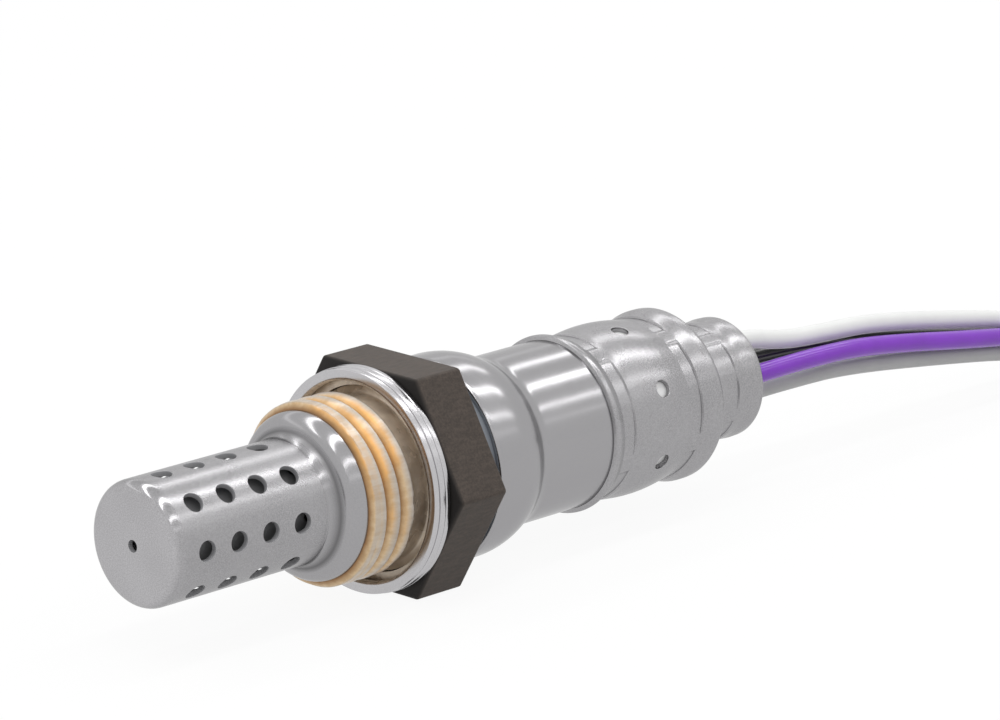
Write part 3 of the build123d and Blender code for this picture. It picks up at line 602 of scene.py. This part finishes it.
def thread_turns():
    """One tooth's outline laid out flat, with its turns counted along X; the rule winds it round the axis."""
    rows = [[(number / TURN_STEPS / MM, along, radius) for along, radius in TOOTH]
            for number in range(TURNS * TURN_STEPS + 1)]
    strip = grid_object("thread_strip", rows, closed_columns=False)
    rule = Rule("thread_rule", Pitch=TOOTH[-1][0] * MM, Start=-12.53 * MM, Front=-8.14 * MM, Front_radius=8.3 * MM,
                Front_slope=1.5, Land_end=-7.1 * MM, Land_radius=8.94 * MM, Rear=-2.86 * MM, Rear_radius=9.0 * MM,
                Rear_end=-2.3 * MM, Slope=2.0, Core_radius=RELIEF_RADIUS * MM, Sunk_by=0.4 * MM)
    place = rule.node("ShaderNodeSeparateXYZ", rule.node("GeometryNodeInputPosition").outputs[0]).outputs
    angle = rule.math("MULTIPLY", place[0], 2 * pi)
    wound = rule.math("MULTIPLY_ADD", place[0], rule.read("Pitch"), rule.math("ADD", place[1], rule.read("Start")))
    x = rule.math("MINIMUM", rule.math("MAXIMUM", wound, rule.read("Front")), rule.read("Rear end"))
    chamfer = rule.math("MULTIPLY_ADD", rule.math("SUBTRACT", x, rule.read("Front")), rule.read("Front slope"),
                        rule.read("Front radius"))
    runout = rule.math("MULTIPLY_ADD", rule.math("SUBTRACT", rule.read("Rear"), x), rule.read("Slope"),
                       rule.read("Rear radius"))
    land = rule.math("MULTIPLY_ADD", rule.math("SUBTRACT", rule.read("Land end"), x), rule.read("Slope"),
                     rule.read("Land radius"))
    tooth = rule.math("MAXIMUM", place[2], rule.math("MINIMUM", land, rule.read("Land radius")))
    cut = rule.math("MINIMUM", rule.math("MINIMUM", tooth, chamfer), runout)
    margin = 0.001 * MM
    before = rule.math("LESS_THAN", wound, rule.math("SUBTRACT", rule.read("Front"), margin))
    behind = rule.math("GREATER_THAN", wound, rule.math("ADD", rule.read("Rear end"), margin))
    sunk = rule.math("MULTIPLY", rule.math("MAXIMUM", before, behind), rule.read("Sunk by"))
    radius = rule.math("SUBTRACT", rule.math("MAXIMUM", cut, rule.read("Core radius")), sunk)
    moved = rule.node("ShaderNodeCombineXYZ", x, rule.math("MULTIPLY", radius, rule.math("COSINE", angle)),
                      rule.math("MULTIPLY", radius, rule.math("SINE", angle))).outputs[0]
    shift = rule.node("GeometryNodeSetPosition", rule.read("Geometry"))
    rule.tree.links.new(moved, shift.inputs["Position"])
    rule.close(shift.outputs[0], thread_finish, 0.01)
    turns = bridged(rule.made_from(strip, "thread_turns", 40), 40)
    return finished(turns, None, "housing_steel", "housing")


GASKET_STAIN = 9.95


def folded_gasket():
    """Sheet ring folded in an S, with its two round folds and the gaps between the layers."""
    outline = rounded((
        (0.0, 9.1), (0.0, 11.02, 0.18), (-0.58, 11.05, 0.16), (-0.62, 10.96), (-0.66, 11.04, 0.16),
        (-1.26, 11.0, 0.16), (-1.32, 10.85), (-1.36, 10.85), (-1.42, 10.94, 0.1), (-1.95, 10.9, 0.16),
        (-1.95, 9.75, 0.4), (-0.75, 9.75, 0.4), (-0.75, 10.72), (-0.45, 10.72), (-0.45, 9.1)))
    obj = lathe("folded_gasket", outline)
    obj.data.materials.append(gasket_steel)
    obj.data.materials.append(neck_finish)
    for face in obj.data.polygons:
        face.material_index = int(hypot(face.center.y, face.center.z) < GASKET_STAIN * MM)
    return finished(obj, None, "gasket_steel", "gasket")


# Perforated tip: one column of holes, repeated round the axis

TIP_RADIUS, TIP_WALL, TIP_FRONT, TIP_EDGE = 6.1, 0.5, -30.0, 1.2
TIP_BORE = TIP_RADIUS - TIP_WALL
TIP_FLANGE, FLANGE_RADIUS = -9.17, 7.3
HOLE_RADIUS, HOLE_ROWS, HOLE_COLUMNS, HOLE_FIRST, HOLE_PITCH = 1.0, 4, 8, -26.3, 3.97
HOLES_END, END_HOLE_RADIUS = -12.0, 0.6
HOLE_ROUND = 0.07
CELL_STEPS = 16


def square_loop(count):
    """Points round a square from -1 to 1, count to each side, from its lower left corner."""
    side = [-1 + 2 * step / count for step in range(count)]
    return ([(value, -1) for value in side] + [(1, value) for value in side]
            + [(-value, 1) for value in side] + [(-1, -value) for value in side])


def holed_cell(place, half_x, half_around, radius, wall, count):
    """Points and faces of a patch of wall with one round hole. place(x, around, depth) puts a point on the part."""
    square = [(half_x * a, half_around * b) for a, b in square_loop(count)]
    circle = [(cos(atan2(b, a)), sin(atan2(b, a))) for a, b in square_loop(count)]

    def between(reach, share, depth):
        """Loop at a share of the way from the square to the circle of radius reach."""
        return [(s[0] + (c[0] * reach - s[0]) * share, s[1] + (c[1] * reach - s[1]) * share, depth)
                for s, c in zip(square, circle)]

    loops = [between(radius + HOLE_ROUND + 0.05, share, 0) for share in (0, 0.3, 0.6, 0.85, 1)]
    for turn in (0, 30, 60, 90):
        loops.append(between(radius + HOLE_ROUND * (1 - sin(radians(turn))), 1,
                             HOLE_ROUND * (1 - cos(radians(turn)))))
    loops.append(between(radius, 1, wall / 2))
    loops += [between(radius, share, wall) for share in (1, 0.5, 0)]
    points = [place(*point) for loop in loops for point in loop]
    size = 4 * count
    faces = []
    for i in range(len(loops) - 1):
        for j in range(size):
            side = (j + 1) % size
            faces.append((i * size + j, i * size + side, (i + 1) * size + side, (i + 1) * size + j))
    return points, faces


def tip_sector():
    """An eighth of the cup, opened by its four holes, from the end face to the flange."""
    points, faces = [], []
    half_angle = 180 / HOLE_COLUMNS
    per_degree = pi * TIP_RADIUS / 180

    def add_band(outline):
        """Plain stretch of the sector along an open outline of (x, radius) points."""
        size = CELL_STEPS + 1
        band = [on_axis(x, radius, -half_angle + 2 * half_angle * j / CELL_STEPS)
                for x, radius in outline for j in range(size)]
        add_patch(points, faces, band, [(i * size + j, i * size + j + 1, (i + 1) * size + j + 1, (i + 1) * size + j)
                                        for i in range(len(outline) - 1) for j in range(CELL_STEPS)])

    for row in range(HOLE_ROWS):
        middle = HOLE_FIRST + row * HOLE_PITCH

        def on_wall(x, around, depth):
            return on_axis(middle + x, TIP_RADIUS - depth, around / per_degree)

        cell = holed_cell(on_wall, HOLE_PITCH / 2, half_angle * per_degree, HOLE_RADIUS, TIP_WALL, CELL_STEPS)
        add_patch(points, faces, *cell)
    front = HOLE_FIRST - HOLE_PITCH / 2
    rear = HOLE_FIRST + (HOLE_ROWS - 0.5) * HOLE_PITCH
    add_band(rounded(((front, TIP_RADIUS), (TIP_FRONT, TIP_RADIUS, TIP_EDGE), (TIP_FRONT, END_HOLE_RADIUS),
                      (TIP_FRONT + TIP_WALL, END_HOLE_RADIUS), (TIP_FRONT + TIP_WALL, TIP_BORE, 0.7),
                      (front, TIP_BORE)), 8))
    add_band(rounded(((rear, TIP_RADIUS), (TIP_FLANGE, TIP_RADIUS), (TIP_FLANGE, FLANGE_RADIUS),
                      (TIP_FLANGE + TIP_WALL, FLANGE_RADIUS), (TIP_FLANGE + TIP_WALL, TIP_BORE, 0.5),
                      (rear, TIP_BORE))))
    return mesh_object("tip_sector", points, faces)


def perforated_tip():
    """Sectors repeated round the axis, with their own finishes on the inside and on the holes' cut walls, whose
    lighter steel is partly a sheared edge and partly painted light.
    """
    rule = Rule("tip_rule", Columns=HOLE_COLUMNS)
    count = rule.read("Columns")
    places = rule.node("GeometryNodePoints", count)
    turn = rule.math("MULTIPLY", rule.node("GeometryNodeInputIndex").outputs[0],
                     rule.math("DIVIDE", 2 * pi, count))
    spun = rule.node("ShaderNodeCombineXYZ", turn)
    copies = rule.node("GeometryNodeInstanceOnPoints", places.outputs[0])
    rule.tree.links.new(rule.read("Geometry"), copies.inputs["Instance"])
    rule.tree.links.new(spun.outputs[0], copies.inputs["Rotation"])
    rule.close(copies.outputs[0], tip_steel, 0.004)
    tip = rule.made_from(tip_sector(), "perforated_tip")
    tip.data.materials.append(inner_steel)
    tip.data.materials.append(sheared_painted_light_steel)
    inside = TIP_BORE + 0.05
    for face in tip.data.polygons:
        x, radius = face.center.x / MM, hypot(face.center.y, face.center.z) / MM
        in_hole_wall = TIP_FRONT + TIP_EDGE + 0.1 < x < HOLES_END and inside < radius < TIP_RADIUS - 0.02
        # The hole walls and the end hole's wall get the lighter steel: partly sheared edge, partly painted light
        if in_hole_wall or radius < END_HOLE_RADIUS + 0.02:
            face.material_index = 2
        elif x > TIP_FRONT + TIP_WALL - 0.1 and radius < inside:
            face.material_index = 1
    return finished(tip, None, "protector_steel", "outer_protector")


# Sleeve and crimped rear cover

SLEEVE_WALL = 0.5


def drawn_sleeve():
    """Turned sleeve with its front flare and its step, and the front edge in the land's finish."""
    outer = ((7.55, 10.16, 0.45), (12.15, 10.19, 9), (15.35, 8.47, 4), (25.6, 8.46, 0.6), (26.35, 7.92, 0.4),
             (28.4, 7.92, 0.4), (29.2, 7.15, 0.4), (39.4, 7.15))
    inner = tuple((x, radius - SLEEVE_WALL) for x, radius, *blend in outer[1:])
    outline = rounded(((7.55, 9.65), *outer, *reversed(inner), (10.63, 9.65)), 10)
    obj = lathe("drawn_sleeve", divided(outline, 1.0), 256, 50)
    obj.data.materials.append(sleeve_steel)
    obj.data.materials.append(land_steel)
    for face in obj.data.polygons:
        face.material_index = int(face.normal.x < -0.9 and face.center.x < 8.0 * MM)
    return finished(obj, None, "sleeve_steel", "main_sleeve")


COVER_WALL, COVER_BORE = 0.43, 8.21
# Outside of the wall between its front lip and its rolled end
COVER_CORNERS = (
    (25.35, 8.94), (26.45, 8.50, 0.8), (28.6, 8.42, 2.5), (32.5, 8.9, 19), (36.3, 8.3, 1.5), (37.9, 8.38, 1.2),
    (39.2, 8.77, 0.8), (40.3, 8.77, 0.5), (42.5, 6.17, 0.7), (45.6, 6.17, 2), (46.7, 6.09, 2), (48.0, 6.2, 1.2),
    (49.2, 6.15))
COVER_OUTSIDE = rounded(COVER_CORNERS)
# Crimp bands as (front, rear, radius), the rise in the middle of a print, and the slope at each end of a band
CRIMP_BANDS = ((26.3, 28.05, 8.28), (36.2, 37.75, 8.18), (42.75, 45.45, 6.03))
CRIMP_RISE, BAND_SLOPE = 0.045, 0.09
# Angles of the bumps between the prints and of the creases in them
BUMPS = (-118.5, -21.0, 61.5, 159.0, 241.5)
CREASES = (-70.0, 22.0, 110.0, 200.0)
BUMP_HALF, BUMP_SLOPE = 5.5, 2.6
VENTS, VENT_RADIUS, VENT_X, VENT_PHASE = 7, 0.86, 32.4, 25.13
VENT_CIRCLE = 8.64
COVER_COLUMNS = 336
VENT_CELLS = 8
VENT_STEP = 1.55 * VENT_RADIUS / VENT_CELLS
VENT_FRONT, VENT_REAR = VENT_X - VENT_STEP * VENT_CELLS, VENT_X + VENT_STEP * VENT_CELLS


def print_depth(angle):
    """Share of the rise at an angle: 1 at the ends and the crease of a print, 0 in between, None on a bump."""
    angle = (angle - BUMPS[0]) % 360 + BUMPS[0]
    for number, crease in enumerate(CREASES):
        start, end = BUMPS[number] + BUMP_HALF, BUMPS[number + 1] - BUMP_HALF
        if start <= angle <= end:
            low, high = (start, crease) if angle < crease else (crease, end)
            return (2 * (angle - low) / (high - low) - 1) ** 2
    return None


def pressed(x, radius, angle):
    """Outside radius after the crimping jaws, with a short slope at each end of a band and beside each bump."""
    for front, rear, low in CRIMP_BANDS:
        inside = min(x - front, rear - x) / BAND_SLOPE
        if inside <= -0.5:
            continue
        share = print_depth(angle)
        if share is None:
            continue
        beside = min(abs((angle - bump + 180) % 360 - 180) for bump in BUMPS) - BUMP_HALF
        weight = min(1, max(0, inside + 0.5)) * min(1, max(0, beside / BUMP_SLOPE + 0.2))
        radius += (min(low + CRIMP_RISE * share, radius) - radius) * weight
    return radius


def wall_radius(x):
    """Outside radius before the crimping jaws."""
    for (x0, r0), (x1, r1) in zip(COVER_OUTSIDE, COVER_OUTSIDE[1:]):
        if x0 <= x <= x1:
            return r0 + (r1 - r0) * (x - x0) / (x1 - x0)
    return COVER_OUTSIDE[0][1] if x < COVER_OUTSIDE[0][0] else COVER_OUTSIDE[-1][1]


def cover_stations():
    """Where the wall has its rings: those of the vents' cells, five at each end of a crimp band, and even steps."""
    stations = [VENT_X + VENT_STEP * number for number in range(-VENT_CELLS, VENT_CELLS + 1)]
    for front, rear, _ in CRIMP_BANDS:
        for edge in (front, rear):
            stations += [edge + BAND_SLOPE * share for share in (-1, -0.5, 0, 0.5, 1)]
    x, last, step, nearest = 25.6, 48.6, 0.2, 0.1
    while x < last:
        if abs(x - VENT_X) > VENT_STEP * (VENT_CELLS + 0.5) and all(abs(x - other) > nearest for other in stations):
            stations.append(x)
        x += step
    return sorted(stations)


def vent_patches(column_angle):
    """Holed cells of all vents as one object."""
    points, faces = [], []
    per_mm = 180 / (pi * VENT_CIRCLE)
    for vent in range(VENTS):
        middle = VENT_PHASE + 360 * vent / VENTS

        def on_wall(x, around, depth):
            radius = COVER_BORE if depth > 0.9 * COVER_WALL else wall_radius(VENT_X + x) - depth
            return on_axis(VENT_X + x, radius, middle + around * per_mm)

        cell = holed_cell(on_wall, VENT_STEP * VENT_CELLS, column_angle * VENT_CELLS / per_mm, VENT_RADIUS,
                          COVER_WALL, 2 * VENT_CELLS)
        add_patch(points, faces, *cell)
    return mesh_object("vent_cells", points, faces)


def crimped_cover():
    """Dense grid of the cover's wall: prints as dents in the radius, vents as holed cells set in the grid."""
    lip = rounded(((25.65, 8.49), (24.78, 8.48), (24.98, 8.92, 0.3), (25.35, 8.94, 0.4), (26.45, 8.5)), 5)[1:-1]
    end = rounded(((47.5, 6.2), (49.2, 6.16, 0.4), (49.2, 5.54, 0.1), (48.77, 5.54)))[1:]
    wall = [(x, wall_radius(x)) for x in cover_stations() if lip[-1][0] + 0.05 < x < end[0][0] - 0.05]
    inside = [(48.7, 5.68), (42.7, 5.68), (40.2, 8.28), (39.3, 8.28), (36.2, 7.75), (VENT_REAR + 0.3, 8.2)]
    inner_row = len(lip) + len(wall) + len(end) + len(inside)
    inside += [(VENT_X + VENT_STEP * number, COVER_BORE) for number in range(VENT_CELLS, -VENT_CELLS - 1, -1)]
    inside += [(28.0, 7.82), (26.3, 7.82), (25.65, 8.49)]
    column_angle = 360 / COVER_COLUMNS
    angles = [VENT_PHASE + column_angle * (j - VENT_CELLS) for j in range(COVER_COLUMNS)]
    rows = [[on_axis(x, radius, angle) for angle in angles] for x, radius in lip]
    rows += [[on_axis(x, pressed(x, radius, angle), angle) for angle in angles] for x, radius in wall]
    rows += [[on_axis(x, radius, angle) for angle in angles] for x, radius in (*end, *inside)]
    open_rows = [len(lip) + number for number, (x, _) in enumerate(wall)
                 if VENT_FRONT - 0.001 < x < VENT_REAR - 0.001]
    open_rows += range(inner_row, inner_row + 2 * VENT_CELLS)
    skipped = {(row, COVER_COLUMNS // VENTS * vent + j) for vent in range(VENTS) for row in open_rows
               for j in range(2 * VENT_CELLS)}
    cover = grid_object("cover_wall", rows, closed_rows=True, skipped=skipped)
    cells = vent_patches(column_angle)
    with bpy.context.temp_override(active_object=cover, selected_editable_objects=[cover, cells]):
        bpy.ops.object.join()
    cover.name = "crimped_cover"
    return finished(sealed(cover, 0.003, 28), cover_steel, "cover_steel", "rear_cover")


housing_body()
hexagon()
thread_turns()
folded_gasket()
perforated_tip()
drawn_sleeve()
crimped_cover()


# Pieces whose solid already has the right shape

kept_finishes = {
    "inner_protector": inner_steel, "sensing_element": zirconia, "seat_washer": inner_steel,
    "heater_rod": white_ceramic, "talc_ring": talc_powder, "ceramic_bush": white_ceramic, "crimp_ring": inner_steel,
    "vent_filter": filter_white, "terminal_insulator": white_ceramic, "insulator_spring": inner_steel,
    "heater_terminal_upper": contact_metal, "heater_terminal_lower": contact_metal, "signal_contact": contact_metal,
    "ground_contact": contact_metal, "grommet": grommet_rubber, "hank_tie": tie_plastic,
    "connector_body": connector_plastic, "connector_ring_seal": seal_rubber, "connector_lock": lock_plastic,
    "connector_wire_seals": seal_rubber, "connector_sockets": socket_brass,
}
for node, material in kept_finishes.items():
    nodes[node].data.materials.clear()
    nodes[node].data.materials.append(material)


# Leads: four cords from the grommet, two turns and a half in a long oval hank, and into the connector

WIRE_DIAMETER = 2.0
HANK_FRONT, HANK_RUN, BEND_RADIUS, HANK_Y = 118.0, 30.0, 7.3, 2.0
FIRST_LAYER, LAYER_RISE = -8.65, 4.3
RISE_END, BEND_STEPS = 105, range(15, 180, 30)
# Route of each wire in millimetres: its start in the grommet, then the same points as in part.py
lead_bends = {
    "white_wire": ((36.45, 0, 2.6), (51.5, 0, 3.65), (58.5, 0.1, 1.85), (65, 0.15, 1.4), (73, 0.25, 0.95),
                   (85, 0.4, -1.15), (96, 0.7, -3.3), (107, 2.25, -7.4)),
    "black_wire": ((36.45, 2.6, 0), (51, 2.55, 0.1), (60, 2.25, 0), (70, 2.05, -0.7), (78, 1.95, -2.05),
                   (86, 1.9, -3.5), (96, 1.95, -5.45), (107, 2.4, -9.6)),
    "purple_wire": ((36.45, -2.6, 0), (51, -2.55, 0.1), (60, -2.25, 0.05), (68, -2.1, -0.3), (77, -1.95, -1.6),
                    (85, -1.9, -2.95), (96, -1.5, -4.7), (107, 0.1, -7.4)),
    "grey_wire": ((36.45, 0, -2.6), (51, -0.05, -2.5), (60, -0.1, -2.45), (68.5, -0.15, -2.65), (85, -0.3, -4.85),
                  (96, -0.2, -6.6), (107, 0.25, -9.6)),
}
# Steps outwards and up from the middle of the square bundle
core_steps = {"white_wire": (1, 1), "black_wire": (1, -1), "purple_wire": (-1, 1), "grey_wire": (-1, -1)}
# From the hank into the connector
tail_bends = {
    "white_wire": ((155.9, 3.15, 1.1), (162.7, 4.1, -1.95), (170.8, 4.1, -1.95)),
    "black_wire": ((155.9, 3.15, -0.9), (162.7, 4.1, -6.15), (170.8, 4.1, -6.15)),
    "purple_wire": ((155.9, 0.85, 1.1), (162.7, -0.1, -1.95), (170.8, -0.1, -1.95)),
    "grey_wire": ((155.9, 0.85, -0.9), (162.7, -0.1, -6.15), (170.8, -0.1, -6.15)),
}


def hank_points(outward, upward):
    """Round the oval two and a half times; each pass of the front bend lifts the wire by one layer."""
    middle_y = HANK_Y - BEND_RADIUS
    radius = BEND_RADIUS + outward + 0.1
    points = []
    for layer in range(3):
        low = FIRST_LAYER + LAYER_RISE * layer + upward
        for share in (0.1, 0.5, 0.9):
            points.append((HANK_FRONT + HANK_RUN * share, middle_y + radius, low))
        if layer == 2:
            break
        for step in BEND_STEPS:
            points.append((HANK_FRONT + HANK_RUN + radius * sin(radians(step)), middle_y + radius * cos(radians(step)),
                           low))
        for share in (0.9, 0.5, 0.1):
            points.append((HANK_FRONT + HANK_RUN * share, middle_y - radius, low))
        for step in BEND_STEPS:
            lift = LAYER_RISE * min(1, step / RISE_END)
            points.append((HANK_FRONT - radius * sin(radians(step)), middle_y - radius * cos(radians(step)),
                           low + lift))
    return points


def lead(name):
    """One wire as a round cord through its bends, the hank and its way into the connector."""
    points = [*lead_bends[name], *hank_points(*core_steps[name]), *tail_bends[name]]
    curve = bpy.data.curves.new(name + "_lead", "CURVE")
    curve.dimensions = "3D"
    curve.bevel_depth = WIRE_DIAMETER / 2 * MM
    curve.bevel_resolution = 6
    curve.use_fill_caps = True
    spline = curve.splines.new("NURBS")
    spline.points.add(len(points) - 1)
    for place, point in zip(spline.points, points):
        place.co = (*(part * MM for part in point), 1)
    spline.order_u = 3
    spline.use_endpoint_u = True
    spline.resolution_u = 8
    curve.materials.append(wire_finishes[name])
    obj = bpy.data.objects.new(name + "_lead", curve)
    scene.collection.objects.link(obj)
    return obj


def line_length(obj):
    """Length of the lead's own line, read from its spline with no bevel."""
    depth, obj.data.bevel_depth = obj.data.bevel_depth, 0
    bpy.context.view_layer.update()
    mesh = bpy.data.meshes.new_from_object(obj.evaluated_get(bpy.context.evaluated_depsgraph_get()))
    total = sum((mesh.vertices[a].co - mesh.vertices[b].co).length for a, b in (edge.vertices for edge in mesh.edges))
    bpy.data.meshes.remove(mesh)
    obj.data.bevel_depth = depth
    return total


# Far pieces that go with each wire, and where it leaves the grommet
for name in lead_bends:
    obj = lead(name)
    length = line_length(obj)
    finished(obj, None, name.replace("wire", "insulation"), name, "lead_hank")


# Floor, lamps and the white surroundings

def seen_white(tree, plain, white):
    """Mix shader: camera, mirror and see-through rays get the white, all others the plain one."""
    path = tree.nodes.new("ShaderNodeLightPath")
    total = path.outputs["Is Camera Ray"]
    for name in ("Is Glossy Ray", "Is Transmission Ray"):
        add = tree.nodes.new("ShaderNodeMath")
        add.operation = "MAXIMUM"
        tree.links.new(total, add.inputs[0])
        tree.links.new(path.outputs[name], add.inputs[1])
        total = add.outputs[0]
    mix = tree.nodes.new("ShaderNodeMixShader")
    tree.links.new(total, mix.inputs[0])
    tree.links.new(plain, mix.inputs[1])
    tree.links.new(white, mix.inputs[2])
    return mix.outputs[0]


FLOOR_HALF = 2500
# The floor's shade in the light, and what the camera sees of it: a glow with a little shade for the shadow
FLOOR_SHADE, FLOOR_SEEN, FLOOR_GLOW = 0.6, 0.07, 0.925
WHITE, WORLD_STRENGTH = (1, 1, 1, 1), 0.62
# Long strip lamps above, in line with the sensor: angle up from the -Y side, width in metres and power
STRIPS = {"front_strip": (48, 0.055, 2.9), "top_strip": (80.5, 0.08, 4.8), "rear_strip": (118.5, 0.08, 3.2),
          "low_strip": (29, 0.05, 0.5), "far_strip": (148, 0.06, 0.5)}
STRIP_LENGTH, STRIP_DISTANCE = 1.5, 0.6
STRIP_MIDDLE = Vector((0.1, 0, 0))


def lay_floor():
    """Pale floor under the part: it takes the part's shadow and looks white to the camera."""
    bottom = cad_box[0][2] / MM
    rows = [[(x, y, bottom) for x in (-FLOOR_HALF, FLOOR_HALF)] for y in (-FLOOR_HALF, FLOOR_HALF)]
    floor = grid_object("floor", rows, closed_columns=False)
    finish = Finish("pale_floor")
    finish.set(Base_Color=(FLOOR_SHADE,) * 3 + (1,), Roughness=0.8)
    tree = finish.tree
    faint = tree.nodes.new("ShaderNodeBsdfDiffuse")
    faint.inputs["Color"].default_value = (FLOOR_SEEN,) * 3 + (1,)
    glow = tree.nodes.new("ShaderNodeEmission")
    glow.inputs["Strength"].default_value = FLOOR_GLOW
    add = tree.nodes.new("ShaderNodeAddShader")
    tree.links.new(faint.outputs[0], add.inputs[0])
    tree.links.new(glow.outputs[0], add.inputs[1])
    mixed = seen_white(tree, finish.shader.outputs[0], add.outputs[0])
    tree.links.new(mixed, tree.nodes["Material Output"].inputs["Surface"])
    floor.data.materials.append(finish.material)


def light_studio():
    """White surroundings and the strip lamps."""
    world = bpy.data.worlds.new("studio")
    world.use_nodes = True
    tree = world.node_tree
    plain = tree.nodes["Background"]
    plain.inputs["Strength"].default_value = WORLD_STRENGTH
    plain.inputs["Color"].default_value = WHITE
    white = tree.nodes.new("ShaderNodeBackground")
    white.inputs["Color"].default_value = WHITE
    tree.links.new(seen_white(tree, plain.outputs[0], white.outputs[0]), tree.nodes["World Output"].inputs["Surface"])
    scene.world = world
    along = Vector((1, 0, 0))
    for name, (angle, width, power) in STRIPS.items():
        data = bpy.data.lights.new(name, "AREA")
        data.shape = "RECTANGLE"
        data.size, data.size_y = STRIP_LENGTH, width
        data.energy = power * pi * STRIP_LENGTH * width
        lamp = bpy.data.objects.new(name, data)
        scene.collection.objects.link(lamp)
        towards = Vector(on_axis(0, 1, angle))
        turn = Matrix((along, towards.cross(along), towards)).transposed().to_4x4()
        lamp.matrix_world = Matrix.Translation(STRIP_MIDDLE + towards * STRIP_DISTANCE) @ turn


lay_floor()
light_studio()
